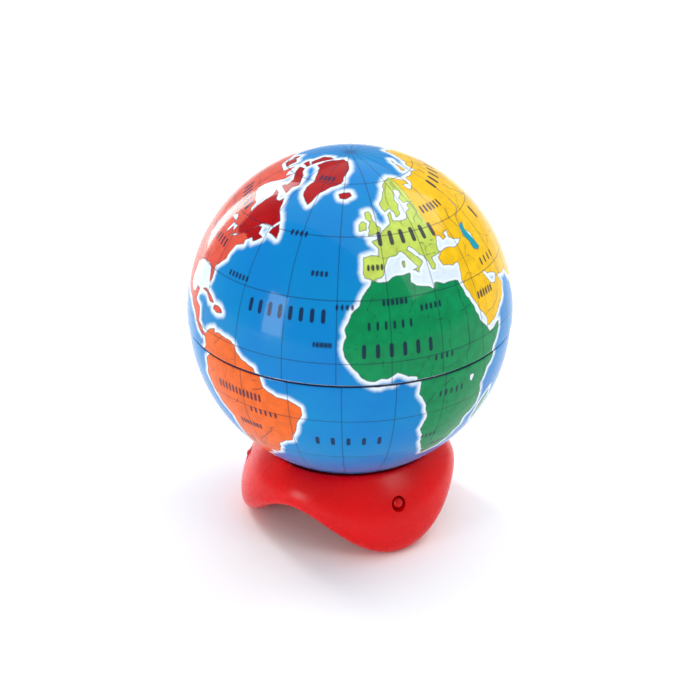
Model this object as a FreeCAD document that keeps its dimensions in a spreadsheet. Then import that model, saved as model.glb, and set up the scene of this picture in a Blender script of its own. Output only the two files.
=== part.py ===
import FreeCAD, Part
import math
import os

import Sketcher

# Globe pencil sharpener: a tinplate globe in two halves turns on a red three-lobed
# plastic base, and a wedge sharpener stands inside the globe over the pencil hole.
# Millimetres, +Z up, origin on the standing surface under the middle of the globe.

DIMENSIONS = {
    # pressed tin globe
    "tin_thickness": 0.3,
    "upper_radius": 25.0,
    "upper_centre_z": 35.0,
    "upper_skirt_z": 34.1,
    "lower_radius": 24.8,
    "lower_centre_z": 34.0,
    "shoulder_low_z": 33.3,
    "shoulder_high_z": 33.85,
    "neck_radius": 24.5,
    "neck_top_radius": 24.3,
    "neck_bend_z": 36.2,
    "neck_top_z": 37.2,
    "shoulder_bend": 0.15,
    "shoulder_set_in": 0.1,
    "shoulder_depth": 0.6,
    "land_underside_z": 12.3,
    "collar_radius": 9.88,
    "collar_top_z": 13.6,
    # three-lobed base
    "lobe_count": 3,
    "lobe_azimuth": -63.0,
    "lobe_bulge_radius": 17.7,
    "lobe_bulge_z": 2.9,
    "lobe_foot_radius": 14.4,
    "lobe_sole_depth": 0.25,
    "valley_bulge_radius": 16.8,
    "valley_bulge_z": 8.6,
    "valley_edge_radius": 15.9,
    "valley_edge_z": 7.4,
    "crest_radius": 13.75,
    "crest_z": 12.8,
    "wall_thickness": 1.6,
    "lobe_fullness": 0.5,
    "edge_fullness": 0.2,
    "rounding_power": 0.8,
    "crest_width_share": 0.6,
    "sole_width_share": 0.55,
    "sole_rise_share": 0.25,
    "sole_height_share": 0.9,
    "web_underside_z": 10.8,
    "web_land_z": 12.0,
    "web_land_radius": 12.2,
    "web_rim_radius": 13.3,
    "web_rim_z": 12.35,
    "web_hole_radius": 9.9,
    "stud_z": 8.5,
    "stud_hole_radius": 1.15,
    # plastic insert that guides the pencil and holds the sharpener
    "guide_bore_radius": 4.3,
    "guide_mouth_radius": 5.2,
    "guide_tube_radius": 5.9,
    "guide_bottom_z": 4.0,
    "guide_mouth_z": 4.9,
    "flange_radius": 11.6,
    "flange_underside_z": 9.2,
    "insert_neck_radius": 9.8,
    "insert_groove_radius": 9.5,
    "insert_groove_low_z": 13.85,
    "insert_groove_high_z": 14.7,
    "insert_top_z": 15.5,
    "insert_top_bevel": 0.4,
    "socket_play": 0.05,
    "arm_width": 5.0,
    "arm_inner_radius": 9.0,
    "tab_inner_radius": 12.2,
    "tab_outer_radius": 13.5,
    "tab_bottom_z": 6.9,
    "boss_radius": 1.6,
    "boss_end_radius": 14.5,
    "stud_radius": 0.85,
    "stud_shank_end": 15.9,
    # snap ring that keeps the globe on the insert
    "ring_outer_radius": 11.7,
    "ring_skirt_radius": 10.45,
    "ring_lip_radius": 9.55,
    "ring_low_z": 12.8,
    "ring_lip_z": 13.9,
    "ring_top_z": 14.6,
    # wedge sharpener
    "wedge_width": 14.0,
    "wedge_back": 5.0,
    "wedge_bottom_z": 10.0,
    "wedge_top_z": 35.0,
    "pencil_radius": 4.0,
    "cone_bottom_z": 17.0,
    "cone_tip_radius": 0.8,
    "blade_bite": 0.15,
    "grip_depth": 0.8,
    "grip_low_z": 16.5,
    "grip_high_z": 33.5,
    "window_width": 4.8,
    "window_low_z": 14.8,
    "window_high_z": 33.6,
    "blade_width": 7.0,
    "blade_length": 20.0,
    "blade_thickness": 0.6,
    "blade_bevel": 0.9,
    "blade_hole_radius": 1.3,
    "blade_low_z": 14.8,
    "screw_x": -3.9,
    "screw_up_blade": 9.8,
    "screw_radius": 1.1,
    "screw_length": 4.6,
    "screw_head_radius": 2.1,
    "screw_head_height": 1.1,
    "screw_head_bevel": 0.42,
    "screw_hole_spare": 1.0,
    "screw_slot_width": 0.5,
    "screw_slot_depth": 0.5,
}

SHEET = "Dims"
RING_POINTS = 36


class Size:
    """A length that knows both its value and its spreadsheet expression."""

    def __init__(self, value, text):
        self.value = value
        self.text = text

    def _join(self, other, sign, value):
        other = other if isinstance(other, Size) else Size(other, repr(other))
        return Size(value(self.value, other.value), f"({self.text} {sign} {other.text})")

    def __add__(self, other):
        return self._join(other, "+", lambda a, b: a + b)

    def __sub__(self, other):
        return self._join(other, "-", lambda a, b: a - b)

    def __mul__(self, other):
        return self._join(other, "*", lambda a, b: a * b)

    def __truediv__(self, other):
        return self._join(other, "/", lambda a, b: a / b)

    def __neg__(self):
        return Size(-self.value, f"(0 - {self.text})")


def root(size):
    return Size(math.sqrt(size.value), f"sqrt({size.text})")


def chord(radius, rise):
    """Half-width of a circle at a height above its centre."""
    return root(radius * radius - rise * rise)


class Dimensions:
    """Every spreadsheet cell as a Size, read by its alias."""

    def __init__(self, table):
        for name, value in table.items():
            setattr(self, name, Size(value, f"{SHEET}.{name}"))


def fill_sheet(document):
    sheet = document.addObject("Spreadsheet::Sheet", SHEET)
    for row, (name, value) in enumerate(DIMENSIONS.items(), start=1):
        sheet.set(f"A{row}", name)
        sheet.set(f"B{row}", str(value))
        sheet.setAlias(f"B{row}", name)
    document.recompute()
    return sheet


def insert_turn(d):
    """Turn of the insert and its sharpener: arms on the lobes, blade towards the front."""
    azimuth = d.lobe_azimuth.value - 360 / d.lobe_count.value
    upright = FreeCAD.Rotation(FreeCAD.Vector(0, 0, 1), azimuth)
    return FreeCAD.Placement(FreeCAD.Vector(), upright)


def new_body(document, name):
    body = document.addObject("PartDesign::Body", name)
    body.Label = name
    return body


def plane_of(body, role):
    for feature in body.Origin.OriginFeatures:
        if feature.Role == role:
            return feature
    raise ValueError(role)


def new_sketch(body, name, role):
    sketch = body.newObject("Sketcher::SketchObject", name)
    sketch.AttachmentSupport = [(plane_of(body, role), "")]
    sketch.MapMode = "FlatFace"
    return sketch


def pin_coordinate(sketch, edge, vertex, kind, size):
    """Ties one coordinate of a vertex to a dimension, or to an axis where it is zero."""
    if size.value == 0:
        axis = -2 if kind == "DistanceX" else -1
        sketch.addConstraint(Sketcher.Constraint("PointOnObject", edge, vertex, axis))
        return
    rule = Sketcher.Constraint(kind, -1, 1, edge, vertex, size.value)
    index = sketch.addConstraint(rule)
    sketch.setExpression(f"Constraints[{index}]", size.text)


def pin_radius(sketch, edge, size):
    index = sketch.addConstraint(Sketcher.Constraint("Radius", edge, size.value))
    sketch.setExpression(f"Constraints[{index}]", size.text)


ZERO = Size(0.0, "0")


def arc_between(start, end, radius, left):
    """Arc of a circle from start to end, with its centre to the left or to the right."""
    a = FreeCAD.Vector(start[0].value, start[1].value, 0)
    b = FreeCAD.Vector(end[0].value, end[1].value, 0)
    half = (b - a) * 0.5
    across = FreeCAD.Vector(-half.y, half.x, 0).normalize()
    reach = math.sqrt(radius.value ** 2 - half.Length ** 2)
    centre = a + half + across * (reach if left else -reach)
    angles = [math.atan2(p.y - centre.y, p.x - centre.x) for p in (a, b)]
    if not left:
        angles.reverse()
    circle = Part.Circle(centre, FreeCAD.Vector(0, 0, 1), radius.value)
    return Part.ArcOfCircle(circle, angles[0], angles[1])


def outline(sketch, corners):
    """Closed outline. A corner is (x, y), or (x, y, radius, left) where an arc leaves it."""
    starts = []
    for index, corner in enumerate(corners):
        following = corners[(index + 1) % len(corners)]
        if len(corner) == 2:
            a = FreeCAD.Vector(corner[0].value, corner[1].value, 0)
            b = FreeCAD.Vector(following[0].value, following[1].value, 0)
            edge = sketch.addGeometry(Part.LineSegment(a, b), False)
            starts.append((edge, 1, 2))
        else:
            arc = arc_between(corner, following, corner[2], corner[3])
            edge = sketch.addGeometry(arc, False)
            starts.append((edge, 1, 2) if corner[3] else (edge, 2, 1))
    for index, (edge, _, last) in enumerate(starts):
        after, first, _ = starts[(index + 1) % len(starts)]
        sketch.addConstraint(Sketcher.Constraint("Coincident", edge, last, after, first))
    for (edge, first, _), corner in zip(starts, corners):
        pin_coordinate(sketch, edge, first, "DistanceX", corner[0])
        pin_coordinate(sketch, edge, first, "DistanceY", corner[1])
        if len(corner) > 2:
            pin_radius(sketch, edge, corner[2])


def ring_circle(sketch, x, y, radius):
    """Full circle with its centre and radius tied to dimensions."""
    centre = FreeCAD.Vector(x.value, y.value, 0)
    circle = Part.Circle(centre, FreeCAD.Vector(0, 0, 1), radius.value)
    edge = sketch.addGeometry(circle, False)
    pin_coordinate(sketch, edge, 3, "DistanceX", x)
    pin_coordinate(sketch, edge, 3, "DistanceY", y)
    pin_radius(sketch, edge, radius)


def revolve(body, name, corners):
    """Turns an outline in the XZ plane about the Z axis."""
    sketch = new_sketch(body, name + "Outline", "XZ_Plane")
    outline(sketch, corners)
    feature = body.newObject("PartDesign::Revolution", name)
    feature.Profile = sketch
    feature.ReferenceAxis = (sketch, ["V_Axis"])
    feature.Angle = 360
    return feature


def groove(body, name, corners):
    """Cuts away an outline in the XZ plane, turned about the Z axis."""
    sketch = new_sketch(body, name + "Outline", "XZ_Plane")
    outline(sketch, corners)
    feature = body.newObject("PartDesign::Groove", name)
    feature.Profile = sketch
    feature.ReferenceAxis = (sketch, ["V_Axis"])
    feature.Angle = 360
    return feature


def extrude(body, kind, name, sketch, length, side="One side", reverse=False):
    feature = body.newObject("PartDesign::" + kind, name)
    feature.Profile = sketch
    feature.SideType = side
    feature.Reversed = reverse
    feature.setExpression("Length", length.text)
    return feature


def lift_sketch(sketch, height):
    """Moves a sketch along the normal of its plane."""
    sketch.setExpression(".AttachmentOffset.Base.z", height.text)


def build_upper_globe_half(document, d):
    """Upper tin half: a dome with a short straight skirt that slips over the neck."""
    body = new_body(document, "upper_globe_half")
    inside = d.upper_radius - d.tin_thickness
    top = d.upper_centre_z + d.upper_radius
    revolve(body, "Dome", [
        (ZERO, top - d.tin_thickness),
        (ZERO, top, d.upper_radius, False),
        (d.upper_radius, d.upper_centre_z),
        (d.upper_radius, d.upper_skirt_z),
        (inside, d.upper_skirt_z),
        (inside, d.upper_centre_z, inside, True),
    ])
    return body


def build_lower_globe_half(document, d):
    """Lower tin half: bowl, shoulder and neck above, flat land and upturned collar below."""
    body = new_body(document, "lower_globe_half")
    tin = d.tin_thickness
    outside = d.lower_radius
    inside = outside - tin
    land_rise = d.land_underside_z - d.lower_centre_z
    shoulder_rise = d.shoulder_low_z - d.lower_centre_z
    bowl_rise = shoulder_rise - d.shoulder_depth
    land_edge = chord(outside, land_rise)
    inner_land_edge = chord(inside, land_rise + tin)
    revolve(body, "Bowl", [
        (d.collar_radius, d.land_underside_z),
        (land_edge, d.land_underside_z, outside, True),
        (chord(outside, shoulder_rise), d.shoulder_low_z),
        (d.neck_radius + d.shoulder_bend, d.shoulder_high_z),
        (d.neck_radius, d.shoulder_high_z + d.shoulder_bend),
        (d.neck_radius, d.neck_bend_z),
        (d.neck_top_radius, d.neck_top_z),
        (d.neck_top_radius - tin, d.neck_top_z),
        (d.neck_radius - tin, d.neck_bend_z),
        (d.neck_radius - tin, d.shoulder_high_z),
        (chord(inside, shoulder_rise) - d.shoulder_set_in, d.shoulder_low_z),
        (chord(inside, bowl_rise), d.shoulder_low_z - d.shoulder_depth, inside, False),
        (inner_land_edge, d.land_underside_z + tin),
        (d.collar_radius + tin, d.land_underside_z + tin),
        (d.collar_radius + tin, d.collar_top_z),
        (d.collar_radius, d.collar_top_z),
    ])
    return body


def lobe_share(azimuth):
    """1 on the middle of a lobe and 0 on the middle of a valley."""
    phase = DIMENSIONS["lobe_count"] * (azimuth - math.radians(DIMENSIONS["lobe_azimuth"]))
    return (1 + math.cos(phase)) / 2


def base_runs(azimuth):
    """Outline (radius, height) of the base at one azimuth, as runs that meet at its corners."""
    v = DIMENSIONS
    share = lobe_share(azimuth)
    round_share = share * (1 + v["lobe_fullness"] * (1 - share))
    edge_share = share * (1 + v["edge_fullness"] * (1 - share))

    def blend(lobe, valley, amount):
        return valley + (lobe - valley) * amount

    bulge_r = blend(v["lobe_bulge_radius"], v["valley_bulge_radius"], round_share)
    bulge_z = blend(v["lobe_bulge_z"], v["valley_bulge_z"], edge_share)
    foot_r = blend(v["lobe_foot_radius"], v["valley_edge_radius"], edge_share)
    foot_z = blend(-v["lobe_sole_depth"], v["valley_edge_z"], edge_share)
    crest_r, crest_z = v["crest_radius"], v["crest_z"]
    wall = v["wall_thickness"]

    def side(height):
        rise = (height - bulge_z) / (crest_z - bulge_z)
        return bulge_r - (bulge_r - crest_r) * rise ** 2

    def under(turn):
        reach = math.cos(turn) ** v["rounding_power"]
        drop = math.sin(turn) ** v["rounding_power"]
        return foot_r + (bulge_r - foot_r) * reach, bulge_z - (bulge_z - foot_z) * drop

    rim = (v["web_rim_radius"], v["web_rim_z"])
    crest = (blend(crest_r, rim[0], v["crest_width_share"]), crest_z)
    heights = [crest_z + (bulge_z - crest_z) * f for f in (0.06, 0.25, 0.5, 0.75, 1.0)]
    outside = [(side(height), height) for height in heights]
    rounding = [under(math.radians(angle)) for angle in (30, 60)]
    sole = (foot_r, foot_z)
    foot_inside = (foot_r - v["sole_width_share"] * wall, foot_z + v["sole_rise_share"] * wall)
    low, high = foot_z + v["sole_height_share"] * wall, v["web_underside_z"]
    inside = [(side(z) - wall, z) for z in (low, (low + high) / 2, high)]
    return [
        [rim, crest] + outside + rounding + [sole],
        [sole, foot_inside] + inside,
        [inside[-1], (v["web_hole_radius"], high)],
        [(v["web_hole_radius"], high), (v["web_hole_radius"], v["web_land_z"])],
        [(v["web_hole_radius"], v["web_land_z"]), (v["web_land_radius"], v["web_land_z"])],
        [(v["web_land_radius"], v["web_land_z"]), rim],
    ]


def base_ring(points):
    """Closed smooth ring through one point (radius, height) for each azimuth."""
    step = 2 * math.pi / RING_POINTS
    places = [FreeCAD.Vector(radius * math.cos(k * step), radius * math.sin(k * step), height)
              for k, (radius, height) in enumerate(points)]
    turns = [k / RING_POINTS for k in range(RING_POINTS + 1)]
    curve = Part.BSplineCurve()
    curve.interpolate(Points=places, PeriodicFlag=True, Parameters=turns)
    return Part.Wire(curve.toShape())


def build_base_shell(document):
    """Wavy skirt and dished web of the base: each run of the outline is lofted all round."""
    sections = [base_runs(2 * math.pi * k / RING_POINTS) for k in range(RING_POINTS)]
    faces = []
    for run in range(len(sections[0])):
        levels = len(sections[0][run])
        rings = [base_ring([section[run][level] for section in sections]) for level in range(levels)]
        faces += Part.makeLoft(rings, False, levels == 2).Faces
    shell = Part.Compound(faces)
    shell.sewShape()
    solid = Part.Solid(shell.Shells[0])
    if solid.Volume < 0:
        solid.reverse()
    blank = document.addObject("Part::Feature", "BaseBlank")
    blank.Shape = solid
    return blank


def build_base(document, d):
    """Red plastic base: wavy skirt, dished web under the globe and three stud holes."""
    blank = build_base_shell(document)
    cutters = []
    for lobe in range(DIMENSIONS["lobe_count"]):
        azimuth = DIMENSIONS["lobe_azimuth"] + lobe * 360 / DIMENSIONS["lobe_count"]
        turn = FreeCAD.Rotation(FreeCAD.Vector(0, 0, 1), azimuth)
        tilt = FreeCAD.Rotation(FreeCAD.Vector(0, 1, 0), 90)
        hole = document.addObject("Part::Cylinder", f"StudHole{lobe}")
        hole.setExpression("Radius", d.stud_hole_radius.text)
        hole.setExpression("Height", d.lobe_bulge_radius.text)
        hole.Placement = FreeCAD.Placement(FreeCAD.Vector(), turn * tilt)
        hole.setExpression(".Placement.Base.z", d.stud_z.text)
        cutters.append(hole)
    floor = document.addObject("Part::Box", "FloorCut")
    for side in ("Length", "Width"):
        floor.setExpression(side, (d.lobe_bulge_radius * 3).text)
    floor.setExpression("Height", d.lobe_bulge_z.text)
    half = -(d.lobe_bulge_radius * 1.5)
    floor.setExpression(".Placement.Base.x", half.text)
    floor.setExpression(".Placement.Base.y", half.text)
    floor.setExpression(".Placement.Base.z", (-d.lobe_bulge_z).text)
    cutter = document.addObject("Part::MultiFuse", "BaseCutters")
    cutter.Shapes = cutters + [floor]
    base = document.addObject("Part::Cut", "base")
    base.Base = blank
    base.Tool = cutter
    base.Label = "base"
    return base


def add_arm(body, d):
    """One arm of the insert with its tab, boss and snap stud, repeated for each lobe."""
    arm = new_sketch(body, "ArmPlan", "XY_Plane")
    half = d.arm_width / 2
    outline(arm, [
        (d.arm_inner_radius, -half),
        (d.tab_outer_radius, -half),
        (d.tab_outer_radius, half),
        (d.arm_inner_radius, half),
    ])
    lift_sketch(arm, d.flange_underside_z)
    arm_pad = extrude(body, "Pad", "Arm", arm, d.web_underside_z - d.flange_underside_z)

    tab = new_sketch(body, "TabPlan", "XY_Plane")
    outline(tab, [
        (d.tab_inner_radius, -half),
        (d.tab_outer_radius, -half),
        (d.tab_outer_radius, half),
        (d.tab_inner_radius, half),
    ])
    lift_sketch(tab, d.tab_bottom_z)
    tab_pad = extrude(body, "Pad", "Tab", tab, d.web_underside_z - d.tab_bottom_z)

    boss = new_sketch(body, "BossPlan", "YZ_Plane")
    ring_circle(boss, ZERO, d.stud_z, d.boss_radius)
    lift_sketch(boss, d.tab_inner_radius)
    boss_pad = extrude(body, "Pad", "Boss", boss, d.boss_end_radius - d.tab_inner_radius)

    stud = new_sketch(body, "StudOutline", "XZ_Plane")
    outline(stud, [
        (d.tab_inner_radius, d.stud_z),
        (d.tab_inner_radius, d.stud_z + d.stud_radius),
        (d.stud_shank_end, d.stud_z + d.stud_radius, d.stud_radius, False),
        (d.stud_shank_end + d.stud_radius, d.stud_z),
    ])
    stud_turn = body.newObject("PartDesign::Revolution", "Stud")
    stud_turn.Profile = stud
    stud_turn.ReferenceAxis = (stud, ["Edge4"])
    stud_turn.Angle = 360

    pattern = body.newObject("PartDesign::PolarPattern", "Arms")
    pattern.Originals = [arm_pad, tab_pad, boss_pad, stud_turn]
    pattern.Axis = (plane_of(body, "Z_Axis"), [""])
    pattern.Angle = 360
    pattern.setExpression("Occurrences", d.lobe_count.text)
    body.Tip = pattern


def build_pencil_guide(document, d):
    """Plastic insert: pencil tube, flange, neck through the globe and sharpener socket."""
    body = new_body(document, "pencil_guide")
    revolve(body, "Core", [
        (d.guide_mouth_radius, d.guide_bottom_z),
        (d.guide_tube_radius, d.guide_bottom_z),
        (d.guide_tube_radius, d.flange_underside_z),
        (d.flange_radius, d.flange_underside_z),
        (d.flange_radius, d.web_underside_z),
        (d.insert_neck_radius, d.web_underside_z),
        (d.insert_neck_radius, d.insert_groove_low_z),
        (d.insert_groove_radius, d.insert_groove_low_z),
        (d.insert_groove_radius, d.insert_groove_high_z),
        (d.insert_neck_radius, d.insert_groove_high_z),
        (d.insert_neck_radius, d.insert_top_z - d.insert_top_bevel),
        (d.insert_neck_radius - d.insert_top_bevel, d.insert_top_z),
        (d.guide_bore_radius, d.insert_top_z),
        (d.guide_bore_radius, d.guide_mouth_z),
    ])
    socket = new_sketch(body, "SocketPlan", "XY_Plane")
    side = d.wedge_width / 2 + d.socket_play
    back = -(d.wedge_back + d.socket_play)
    front = wedge_front(d, d.wedge_bottom_z) + d.socket_play
    outline(socket, [(-side, back), (side, back), (side, front), (-side, front)])
    lift_sketch(socket, d.wedge_bottom_z)
    extrude(body, "Pocket", "Socket", socket, d.insert_top_z - d.wedge_bottom_z, reverse=True)
    add_arm(body, d)
    body.Placement = insert_turn(d)
    return body


def build_retaining_ring(document, d):
    """Snap ring on the insert's neck, which keeps the globe down and lets it turn."""
    body = new_body(document, "retaining_ring")
    revolve(body, "Ring", [
        (d.ring_skirt_radius, d.ring_low_z),
        (d.ring_outer_radius, d.ring_low_z),
        (d.ring_outer_radius, d.ring_top_z),
        (d.ring_lip_radius, d.ring_top_z),
        (d.ring_lip_radius, d.ring_lip_z),
        (d.ring_skirt_radius, d.ring_lip_z),
    ])
    return body


def wedge_slope(d):
    """How far the blade face comes in towards the axis for each millimetre of height."""
    return (d.pencil_radius - d.cone_tip_radius) / (d.wedge_top_z - d.cone_bottom_z)


def wedge_front(d, height):
    """Distance of the blade face from the axis at a height: it just opens the cone's side."""
    return d.cone_tip_radius - d.blade_bite + wedge_slope(d) * (d.wedge_top_z - height)


def build_sharpener_body(document, d):
    """Metal wedge: blade face, pencil bore and cone, shaving window, grips and screw hole."""
    body = new_body(document, "sharpener_body")
    side = new_sketch(body, "WedgeSide", "YZ_Plane")
    outline(side, [
        (-d.wedge_back, d.wedge_bottom_z),
        (wedge_front(d, d.wedge_bottom_z), d.wedge_bottom_z),
        (wedge_front(d, d.wedge_top_z), d.wedge_top_z),
        (-d.wedge_back, d.wedge_top_z),
    ])
    extrude(body, "Pad", "Wedge", side, d.wedge_width, side="Symmetric")
    groove(body, "PencilBore", [
        (ZERO, d.wedge_bottom_z),
        (d.pencil_radius, d.wedge_bottom_z),
        (d.pencil_radius, d.cone_bottom_z),
        (d.cone_tip_radius, d.wedge_top_z),
        (ZERO, d.wedge_top_z),
    ])
    window = new_sketch(body, "WindowSide", "YZ_Plane")
    outline(window, [
        (ZERO, d.window_low_z),
        (d.wedge_width, d.window_low_z),
        (d.wedge_width, d.window_high_z),
        (ZERO, d.window_high_z),
    ])
    extrude(body, "Pocket", "Window", window, d.window_width, reverse=True)
    grips = new_sketch(body, "GripPlan", "XZ_Plane")
    reach = (d.grip_high_z - d.grip_low_z) / 2
    bow = (reach * reach + d.grip_depth * d.grip_depth) / (d.grip_depth * 2)
    edge = d.wedge_width / 2
    outline(grips, [(edge, d.grip_low_z, bow, False), (edge, d.grip_high_z)])
    outline(grips, [(-edge, d.grip_high_z, bow, False), (-edge, d.grip_low_z)])
    extrude(body, "Pocket", "Grips", grips, d.wedge_back * 4, side="Symmetric")
    hole = new_sketch(body, "ScrewHolePlan", "XY_Plane")
    ring_circle(hole, d.screw_x, ZERO, d.screw_radius)
    hole.AttachmentOffset = screw_placement(d, 0)
    extrude(body, "Pocket", "ScrewHole", hole, d.screw_length + d.screw_hole_spare)
    body.Placement = insert_turn(d)
    return body


def blade_rotation(d):
    """Turns +Z onto the outward normal of the blade face and +Y up the face."""
    slope = wedge_slope(d).value
    normal = FreeCAD.Vector(0, 1, slope).normalize()
    up_face = FreeCAD.Vector(0, -slope, 1).normalize()
    return FreeCAD.Rotation(up_face.cross(normal), up_face, normal, "ZYX")


def face_point(d, along):
    """Point on the middle line of the blade face, a distance up from the blade's lower end."""
    start = FreeCAD.Vector(0, wedge_front(d, d.blade_low_z).value, d.blade_low_z.value)
    return start + blade_rotation(d).multVec(FreeCAD.Vector(0, along, 0))


def screw_placement(d, above):
    """Frame at the screw's centre line, a distance above the blade face."""
    turn = blade_rotation(d)
    lift = turn.multVec(FreeCAD.Vector(0, 0, above))
    return FreeCAD.Placement(face_point(d, d.screw_up_blade.value) + lift, turn)


def build_blade(document, d):
    """Hardened steel blade with a screw hole and a bevel behind the cutting edge."""
    body = new_body(document, "blade")
    section = new_sketch(body, "BladeSection", "XZ_Plane")
    outline(section, [
        (-d.blade_width, ZERO),
        (ZERO, ZERO),
        (-d.blade_bevel, d.blade_thickness),
        (-d.blade_width, d.blade_thickness),
    ])
    extrude(body, "Pad", "Plate", section, d.blade_length, reverse=True)
    hole = new_sketch(body, "BladeHolePlan", "XY_Plane")
    ring_circle(hole, d.screw_x, d.screw_up_blade, d.blade_hole_radius)
    extrude(body, "Pocket", "BladeHole", hole, d.blade_thickness * 2, reverse=True)
    body.Placement = insert_turn(d) * FreeCAD.Placement(face_point(d, 0), blade_rotation(d))
    return body


def build_blade_screw(document, d):
    """Slotted screw that clamps the blade on the wedge."""
    body = new_body(document, "blade_screw")
    revolve(body, "Screw", [
        (ZERO, -d.screw_length),
        (d.screw_radius, -d.screw_length),
        (d.screw_radius, ZERO),
        (d.screw_head_radius, ZERO),
        (d.screw_head_radius, d.screw_head_height - d.screw_head_bevel),
        (d.screw_head_radius - d.screw_head_bevel, d.screw_head_height),
        (ZERO, d.screw_head_height),
    ])
    slot = new_sketch(body, "SlotPlan", "XY_Plane")
    across = d.screw_head_radius * 2
    half = d.screw_slot_width / 2
    outline(slot, [(-across, -half), (across, -half), (across, half), (-across, half)])
    lift_sketch(slot, d.screw_head_height - d.screw_slot_depth)
    extrude(body, "Pocket", "Slot", slot, d.screw_slot_depth * 2, reverse=True)
    frame = screw_placement(d, d.blade_thickness.value)
    aside = frame.Rotation.multVec(FreeCAD.Vector(d.screw_x.value, 0, 0))
    body.Placement = insert_turn(d) * FreeCAD.Placement(frame.Base + aside, frame.Rotation)
    return body


def check_document(document, parts):
    """Stops with a list of every object that failed and every sub-part that isn't sound."""
    faults = [f"{o.Name}: {o.State}" for o in document.Objects
              if "Invalid" in o.State or "Error" in o.State]
    for part in parts:
        shape = part.Shape
        if shape.isNull() or not shape.isValid() or len(shape.Solids) != 1:
            faults.append(f"{part.Label}: not one sound solid")
    if faults:
        raise RuntimeError("; ".join(faults))


def main():
    document = FreeCAD.newDocument("GlobeSharpener")
    fill_sheet(document)
    d = Dimensions(DIMENSIONS)
    parts = [
        build_upper_globe_half(document, d),
        build_lower_globe_half(document, d),
        build_base(document, d),
        build_pencil_guide(document, d),
        build_retaining_ring(document, d),
        build_sharpener_body(document, d),
        build_blade(document, d),
        build_blade_screw(document, d),
    ]
    document.recompute()
    check_document(document, parts)
    os.makedirs("parts", exist_ok=True)
    for part in parts:
        part.Shape.exportStep(f"parts/{part.Label}.step")
        box = part.Shape.BoundBox
        size = (box.XLength, box.YLength, box.ZLength)
        print(part.Label, [round(v, 2) for v in size], "z from", round(box.ZMin, 2),
              "volume", round(part.Shape.Volume, 2))


main()
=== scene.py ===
import math

import bpy
import numpy as np
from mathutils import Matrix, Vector


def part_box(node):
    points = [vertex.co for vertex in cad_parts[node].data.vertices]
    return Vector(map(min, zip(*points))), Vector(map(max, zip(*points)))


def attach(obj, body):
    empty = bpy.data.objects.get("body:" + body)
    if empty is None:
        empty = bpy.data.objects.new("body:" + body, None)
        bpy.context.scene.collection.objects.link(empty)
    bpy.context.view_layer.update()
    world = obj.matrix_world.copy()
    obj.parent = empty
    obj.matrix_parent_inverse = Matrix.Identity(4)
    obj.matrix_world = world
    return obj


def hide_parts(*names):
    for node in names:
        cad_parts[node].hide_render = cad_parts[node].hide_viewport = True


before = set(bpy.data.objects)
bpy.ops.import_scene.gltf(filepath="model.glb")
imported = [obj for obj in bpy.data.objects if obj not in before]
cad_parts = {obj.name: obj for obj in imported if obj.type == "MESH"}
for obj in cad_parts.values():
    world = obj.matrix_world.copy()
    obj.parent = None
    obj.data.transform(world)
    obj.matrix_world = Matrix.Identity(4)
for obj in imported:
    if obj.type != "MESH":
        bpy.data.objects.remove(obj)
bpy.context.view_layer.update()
MM = 0.001

# ---------------------------------------------------------------- sizes from the frame
UPPER_BOX = np.array(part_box("upper_globe_half")) / MM
LOWER_BOX = np.array(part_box("lower_globe_half")) / MM
UPPER_R = (UPPER_BOX[1][0] - UPPER_BOX[0][0]) / 2
UPPER_Z = UPPER_BOX[1][2] - UPPER_R
SKIRT_Z = UPPER_BOX[0][2]
TIN = 0.3
LOWER_R = UPPER_R - 0.2
LOWER_Z = UPPER_Z - 1.0
LAND_Z = LOWER_BOX[0][2]
NECK_TOP_Z = LOWER_BOX[1][2]
NECK_R = UPPER_R - 0.5
NECK_TOP_R = UPPER_R - 0.7
SHOULDER_Z = SKIRT_Z - 0.8
COLLAR_R = 9.88
COLLAR_TOP_Z = LAND_Z + 1.3

# ---------------------------------------------------------------- the printed map
# Outlines of the land in degrees (longitude, latitude). Longitudes past 180 run on eastwards.
NORTH_AMERICA = [
    (-168, 65.5), (-162, 66.5), (-166, 68.5), (-156.5, 71.3), (-141, 69.6), (-128, 70),
    (-115, 68), (-108, 68), (-96, 68), (-94, 72), (-90, 69), (-86, 67.5), (-82, 69.5),
    (-82, 66.5), (-87, 64.5), (-94, 61), (-94.5, 58.5), (-88, 56.5), (-82.5, 55),
    (-82, 52.5), (-79.5, 51.3), (-79, 54.5), (-77, 57.5), (-78, 62.3), (-73, 61.5),
    (-69.5, 59), (-66, 58.8), (-64.5, 60.3), (-61.5, 56.5), (-56, 52.5), (-59, 50.3),
    (-66, 50), (-70, 47), (-65, 49), (-64.5, 46.5), (-61, 45.8), (-65.5, 43.5),
    (-67, 44.8), (-70.5, 43), (-70, 41.7), (-74, 40.5), (-76, 37), (-76, 35),
    (-81, 31.5), (-80, 27), (-80.8, 25.2), (-82.5, 28), (-84, 30), (-89.5, 30.2),
    (-94, 29.5), (-97.3, 27.5), (-97.5, 22), (-95, 18.7), (-91, 18.8), (-90, 21.2),
    (-87, 21.3), (-88.3, 17), (-84, 15.8), (-83.5, 11), (-80, 9), (-77.5, 8.5),
    (-78, 7.3), (-80.5, 7.3), (-83.5, 8.5), (-87.5, 12.5), (-94, 16), (-101, 17.5),
    (-105.5, 20.5), (-109, 25.5), (-113, 31), (-114.7, 31), (-109.8, 23), (-115, 29),
    (-117.2, 32.8), (-120.6, 34.7), (-124, 40), (-124, 47.5), (-130, 54), (-136, 58.5),
    (-146, 60.8), (-152, 59.5), (-158, 56.5), (-164, 54.8), (-157.5, 58.7), (-165, 61),
    (-161, 64)]
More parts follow.
